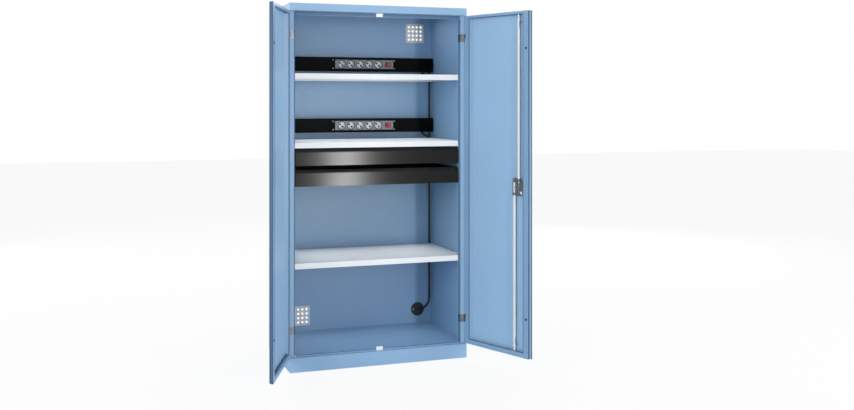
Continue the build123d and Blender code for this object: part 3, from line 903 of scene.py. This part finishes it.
@dataclass
class FrameShadeStrips(Assembly):
    """The dark strips that edge the front opening: painted shade."""

    start: tuple[float, float] = (472.3, -262.9)
    end: tuple[float, float] = (465.0, -248.6)
    thick: float = 0.8

    def build(self) -> None:
        """Run the painted shade up both slanted stiles, along the rail's lip and the floor's edge.
        """
        low, high = 84.2, 1889.0
        run, rise = self.end[0] - self.start[0], self.end[1] - self.start[1]
        strips = [self.bench.bar(point(-464.5, -262.9, 1890.2), point(464.5, -261.8, 1908.6), 0.3),
                  self.bench.bar(point(-464.5, -263.2, 81.5), point(464.5, -261.6, 85.2), 0.6)]
        for side in (-1.0, 1.0):
            strip = self.bench.bar(point(0.0, -self.thick / 2, low),
                                   point(math.hypot(run, rise), self.thick / 2, high), 0.3)
            turn = Matrix.Rotation(math.atan2(rise, side * run), 4, "Z")
            place = Matrix.Translation(point(side * self.start[0], self.start[1], 0.0))
            strips.append(self.bench.put(strip, place @ turn))
        self.fit(self.bench.joined(strips), "frame_painted_shade", "carcass", Paint.SHADE_STRIP, "cabinet_blue")


@dataclass
class HingeCovers(Assembly):
    """The bright returns of the frame's hinge leaves, and dark strips on their knuckles that paint
    the dark band of the leaves' reflection.
    """

    tall: float = 42.0

    def build(self) -> None:
        """Fold a return round each stile and lay a dark strip, a painted dark reflection, on each
        knuckle's foot.
        """
        leaves = self.dresser.nodes["hinge_frame_leaves"].data.vertices
        heights = [vertex.co.z / MM for vertex in leaves]
        levels = [min(heights), max(heights) - self.tall]
        returns, painted_dark_strips = [], []
        run, rise = -8.6, 16.8
        for low in levels:
            for side in (-1.0, 1.0):
                strip = self.bench.bar(
                    point(0.0, -0.5, low + 0.3),
                    point(math.hypot(run, rise), 0.5, low + self.tall - 0.3), 0.3)
                turn = Matrix.Rotation(math.atan2(rise, side * run), 4, "Z")
                place = Matrix.Translation(point(side * 473.2, -266.6, 0.0))
                returns.append(self.bench.put(strip, place @ turn))
                ends = sorted((side * 493.2, side * 499.6))
                # painted dark reflection: a dark strip on the leaf's outer edge
                painted_dark_strips.append(self.bench.bar(point(ends[0], -268.9, low + 0.5),
                                           point(ends[1], -267.2, low + self.tall - 0.5), 0.4))
        self.fit(self.bench.joined(returns), "hinge_returns", "carcass", Paint.HINGE, "polished")
        self.fit(self.bench.joined(painted_dark_strips), "hinge_painted_dark_strips", "carcass", Paint.KNUCKLE, "polished")


@dataclass
class DoorWork(Assembly):
    """The fittings of the doors, modelled on shut doors and swung open with them."""

    hinge: tuple[float, float] = (499.0, -273.0)
    opened: float = 111.0
    lock_x: float = 99.0
    lock_z: float = 975.0

    def swung(self, side: float = 1.0) -> Matrix:
        """Give the turn of an open door.

        Args:
            side: 1 for the right door and -1 for the left.

        Returns:
            The turn about its hinge.
        """
        hinge = point(side * self.hinge[0], self.hinge[1], 0.0)
        turn = Matrix.Rotation(math.radians(side * self.opened), 4, "Z")
        return Matrix.Translation(hinge) @ turn @ Matrix.Translation(-hinge)

    def groove_shades(self) -> None:
        """Run a dark strip round the inner edge of each door's flange: painted shade where the
        flange meets the recess.
        """
        for side, (name, free) in {1.0: ("right", 45.7), -1.0: ("left", 24.7)}.items():
            spans = ((free - 0.8, free + 2.8, 103.5, 1893.5), (462.3, 466.0, 103.5, 1893.5),
                     (free, 465.0, 103.2, 106.6), (free, 465.0, 1890.4, 1893.6))
            beads = []
            for x0, x1, z0, z1 in spans:
                ends = sorted((side * x0, side * x1))
                beads.append(self.bench.bar(point(ends[0], -270.0, z0), point(ends[1], -268.3, z1),
                                            0.6, 3))
            groove_shade = self.bench.put(self.bench.joined(beads), self.swung(side))
            self.fit(groove_shade, f"door_{name}_seams", f"door_{name}", Paint.SEAM, "door_blue")

    def edge_shades(self) -> None:
        """Lay a dark strip on both steps of each door's free edge: painted shade on the edge that
        faces the front.
        """
        steps = {1.0: ("right", 1.5, 11.5), -1.0: ("left", 1.5, -9.5)}
        for side, (name, outer, inner) in steps.items():
            shade_strips = []
            for x, y0, y1 in ((outer, -289.6, -280.4), (inner, -279.6, -268.9)):
                ends = sorted((side * (x - 0.2), side * (x + 0.3)))
                shade_strips.append(self.bench.bar(point(ends[0], y0, 78.6), point(ends[1], y1, 1907.4),
                                            0.25))
            shade_strip = self.bench.put(self.bench.joined(shade_strips), self.swung(side))
            self.fit(shade_strip, f"door_{name}_edge_shade", f"door_{name}", Paint.EDGE, "door_blue")

    def locking_bars(self) -> None:
        """Sleeve each rod with a flat bar on both sides of its guide, clear of the door's lips."""
        half, thin = 6.2, 5.6
        runs = (("upper", 83.0, ((1024.0, 1820.0), (1858.0, 1870.5))),
                ("lower", 115.0, ((176.0, 924.0), (126.5, 137.0))))
        for name, x, spans in runs:
            bars = [self.bench.bar(point(x - half, -277.9, low),
                                   point(x + half, -269.5, high), 1.6, 3)
                    for low, high in spans]
            inner = sorted(end for span in spans for end in span)[1:3]
            bars.append(self.bench.bar(point(x - thin, -270.7, inner[0] - 6.0),
                                       point(x + thin, -269.4, inner[1] + 6.0), 0.4))
            bar = self.bench.put(self.bench.joined(bars), self.swung())
            self.fit(bar, f"locking_bar_{name}", f"{name}_rod", Paint.BAR, "zinc")

    def buffers(self) -> None:
        """Put domed rubber buffers on the flange of each door's free edge."""
        rings = (Ring(6.6, -0.4), Ring(6.6, 1.3), Ring(6.0, 2.2), Ring(4.4, 2.9), Ring(2.0, 3.2))
        for side, (name, free) in {1.0: ("right", 11.5), -1.0: ("left", -9.5)}.items():
            moves = [self.swung(side) @ facing(point(side * (free + 13.0), -268.5, height), IN)
                     for height in (285.0, 1710.0)]
            domes = self.bench.copies(self.bench.turned(rings, 28), moves)
            self.fit(domes, f"door_{name}_buffer_domes", f"door_{name}", Paint.CONTACT,
                     "rubber_black", f"door_{name}_buffers")

    def lock_trim(self) -> None:
        """Put rivets on the lock case, and the back of the key cylinder in white: a painted
        highlight.
        """
        head = self.bench.turned(
            (Ring(3.4, -0.2), Ring(3.4, 0.3), Ring(2.9, 1.0), Ring(1.6, 1.5)), 20)
        moves = [self.swung() @ facing(point(95.0 + dx, -278.5, self.lock_z + dz), IN)
                 for dx in (-33.0, 33.0) for dz in (-40.0, 40.0)]
        rivets = self.bench.copies(head, moves)
        self.fit(rivets, "lock_rivets", "door_right", Paint.ZINC, "zinc")
        boss = self.bench.turned((Ring(5.6, -0.3), Ring(5.6, 1.0), Ring(4.9, 1.7), Ring(3.2, 1.7),
                                  Ring(2.9, 0.8)), 28)
        self.bench.clear()
        boss.select_set(True)
        bpy.context.view_layer.objects.active = boss
        self.bench.edit()
        bpy.ops.transform.resize(value=(1.0, 1.5, 1.0), center_override=(0.0, 0.0, 0.0))
        boss = self.bench.close(40.0)
        # the white boss stands in for a highlight on the lock: painted highlight
        boss = self.bench.put(boss, self.swung() @ facing(point(71.0, -278.5, 946.0), IN))
        self.fit(boss, "lock_boss_painted_highlight", "door_right", Paint.STOP, "polished")

    def lever(self) -> None:
        """Model the handle: a round neck, a tapering grip and the spindle behind them."""
        neck = self.bench.turned((Ring(8.0, -11.5), Ring(8.0, -1.0), Ring(12.6, -1.0),
                                  Ring(12.6, 16.0), Ring(11.6, 22.0), Ring(12.4, 27.0),
                                  Ring(12.4, 33.0), Ring(9.6, 36.5), Ring(7.3, 36.9),
                                  Ring(7.2, 30.0)), 48)
        neck = self.bench.put(neck, facing(point(0.0, -290.0, 0.0), OUT))
        self.bench.clear()
        bpy.ops.mesh.primitive_cube_add(size=1.0, location=point(6.0, -321.5, 0.0))
        bpy.context.object.scale = point(14.0, 10.6, 19.0)
        bpy.ops.object.transform_apply(location=True, scale=True)
        self.bench.edit()
        self.bench.pick(lambda face: face.normal.x > 0.9)
        stages = ((22.0, 1.2, (1.0, 0.86, 0.86)), (26.0, 0.6, (1.0, 0.96, 1.0)),
                  (24.0, -0.8, (1.0, 1.04, 1.16)), (10.0, -0.6, (1.0, 0.86, 0.8)))
        reach, lean = 13.0, -321.5
        for run, shift, share in stages:
            bpy.ops.mesh.extrude_region_move(
                TRANSFORM_OT_translate={"value": point(run, shift, 0.0)})
            reach, lean = reach + run, lean + shift
            bpy.ops.transform.resize(value=share, center_override=point(reach, lean, 0.0))
        grip = self.bench.close(60.0)
        for kind, levels in (("BEVEL", 0), ("SUBSURF", 2)):
            modifier = grip.modifiers.new(kind.lower(), kind)
            if kind == "BEVEL":
                modifier.width, modifier.segments = 2.2 * MM, 2
            else:
                modifier.levels = modifier.render_levels = levels
            bpy.ops.object.modifier_apply(modifier=kind.lower())
        bpy.ops.object.shade_smooth_by_angle(angle=math.radians(60.0))
        spindle = self.bench.bar(point(-3.9, -290.0, -3.9), point(3.9, -270.0, 3.9), 0.4)
        lever = self.bench.joined([grip, neck, spindle])
        place = Matrix.Translation(point(self.lock_x, 0.0, self.lock_z))
        lever = self.bench.put(lever, self.swung() @ place)
        self.fit(lever, "lever_grip", "handle", Paint.HANDLE, "handle_black", "handle_lever")

    def build(self) -> None:
        """Build all door fittings."""
        self.groove_shades()
        self.edge_shades()
        self.locking_bars()
        self.buffers()
        self.lock_trim()
        self.lever()


# ---------------------------------------------------------------- studio


@dataclass(frozen=True)
class Lamp:
    """One soft area lamp."""

    name: str
    place: Colour
    aim: Colour
    wide: float
    tall: float
    power: float
    spread: float = 0.0


@dataclass
class Studio:
    """The pale floor, the light and the camera."""

    floor_side: float = 40.0
    floor_glow: float = 0.88
    white: float = 1.0
    fill: float = 0.64
    lamps: tuple[Lamp, ...] = (
        Lamp("key", (-5.0, -4.2, 2.2), (0.0, -0.2, 1.0), 2.8, 2.8, 162.0),
        Lamp("right_fill", (4.8, -3.8, 1.6), (0.0, 0.0, 1.0), 2.6, 2.6, 104.0),
        Lamp("streak", (1.05, -4.9, 0.95), (-0.2, 0.0, 1.05), 0.28, 2.2, 50.0),
        Lamp("rear_right", (3.6, 4.4, 2.6), (0.3, 0.2, 1.0), 2.6, 2.6, 110.0),
        Lamp("rear_left", (-3.6, 4.4, 2.6), (-0.3, 0.2, 1.0), 2.6, 2.6, 80.0),
        Lamp("bay_top", (0.12, -0.02, 1.92), (0.12, -0.02, 1.6), 0.7, 0.4, 0.55, 180.0),
        Lamp("bay_middle", (0.0, -0.02, 1.53), (0.0, -0.02, 1.2), 0.88, 0.46, 1.15, 55.0),
        Lamp("bay_lower", (0.0, -0.02, 0.94), (0.0, -0.02, 0.5), 0.88, 0.46, 0.9, 55.0),
        Lamp("bay_floor", (0.0, -0.02, 0.52), (0.0, -0.02, 0.1), 0.86, 0.44, 0.5, 70.0),
    )

    def floor(self) -> None:
        """Lay the floor."""
        bpy.ops.object.select_all(action="DESELECT")
        bpy.ops.mesh.primitive_plane_add(size=self.floor_side)
        floor = bpy.context.object
        floor.name = "studio_floor"
        graph = Graph("pale_floor")
        seen = graph.add("ShaderNodeLightPath")
        matt = graph.add("ShaderNodeBsdfDiffuse", None, {"Color": (0.86, 0.86, 0.87, 1.0)})
        glow = graph.add("ShaderNodeEmission", None,
                         {"Color": (1.0, 1.0, 1.0, 1.0), "Strength": 1.0})
        shared = graph.add("ShaderNodeMixShader", None, {
            0: Signal(graph, seen.outputs["Is Camera Ray"]) * self.floor_glow, 1: matt.outputs[0],
            2: glow.outputs[0]})
        graph.add("ShaderNodeOutputMaterial", None, {"Surface": shared.outputs[0]})
        floor.data.materials.append(graph.material)

    def world(self) -> None:
        """Fill the surroundings with soft light, white where they are seen."""
        world = bpy.data.worlds.new("studio_world")
        world.use_nodes = True
        bpy.context.scene.world = world
        tree = world.node_tree
        tree.nodes.clear()
        seen = tree.nodes.new("ShaderNodeLightPath")
        soft = tree.nodes.new("ShaderNodeBackground")
        soft.inputs["Color"].default_value = (1.0, 0.995, 0.985, 1.0)
        soft.inputs["Strength"].default_value = self.fill
        bright = tree.nodes.new("ShaderNodeBackground")
        bright.inputs["Strength"].default_value = self.white
        bright.inputs["Color"].default_value = (1.0, 1.0, 1.0, 1.0)
        either = tree.nodes.new("ShaderNodeMath")
        either.operation = "MAXIMUM"
        tree.links.new(seen.outputs["Is Camera Ray"], either.inputs[0])
        tree.links.new(seen.outputs["Is Transmission Ray"], either.inputs[1])
        mixed = tree.nodes.new("ShaderNodeMixShader")
        tree.links.new(either.outputs[0], mixed.inputs[0])
        tree.links.new(soft.outputs[0], mixed.inputs[1])
        tree.links.new(bright.outputs[0], mixed.inputs[2])
        out = tree.nodes.new("ShaderNodeOutputWorld")
        tree.links.new(mixed.outputs[0], out.inputs["Surface"])

    def light(self) -> None:
        """Hang the lamps."""
        for lamp in self.lamps:
            data = bpy.data.lights.new(lamp.name, "AREA")
            data.shape = "RECTANGLE"
            data.size = lamp.wide
            data.size_y = lamp.tall
            data.energy = lamp.power
            made = bpy.data.objects.new(lamp.name, data)
            bpy.context.scene.collection.objects.link(made)
            made.location = lamp.place
            way = Vector(lamp.aim) - Vector(lamp.place)
            made.rotation_euler = way.to_track_quat("-Z", "Y").to_euler()
            if lamp.spread:
                data.spread = math.radians(lamp.spread)
                made.visible_camera = made.visible_glossy = False

    def camera(self) -> None:
        """Set up the camera a little left of the middle, at chest height."""
        data = bpy.data.cameras.new("front_view")
        data.sensor_width = 36.0
        data.lens = 42.81
        data.shift_y = -0.12
        camera = bpy.data.objects.new("front_view", data)
        bpy.context.scene.collection.objects.link(camera)
        camera.location = (-1.6124, -5.562, 1.4241)
        camera.rotation_euler = (math.radians(90), 0.0, math.radians(-19.6))
        bpy.context.scene.camera = camera

    def build(self) -> None:
        """Make the whole studio."""
        bpy.context.scene.view_settings.view_transform = "Standard"
        self.camera()
        self.floor()
        self.world()
        self.light()


def main() -> None:
    """Load the frame, dress it and add the pieces."""
    logging.basicConfig(level=logging.INFO, format="%(name)s: %(message)s")
    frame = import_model()
    Studio().build()
    dresser = Dresser(frame["nodes"])
    dresser.dress()
    bench = Bench()
    for work in (SocketUnits, CableEntry, BackRivets, FrameShadeStrips, HingeCovers, DoorWork):
        work(bench, dresser).build()


if __name__ == "__main__":
    main()
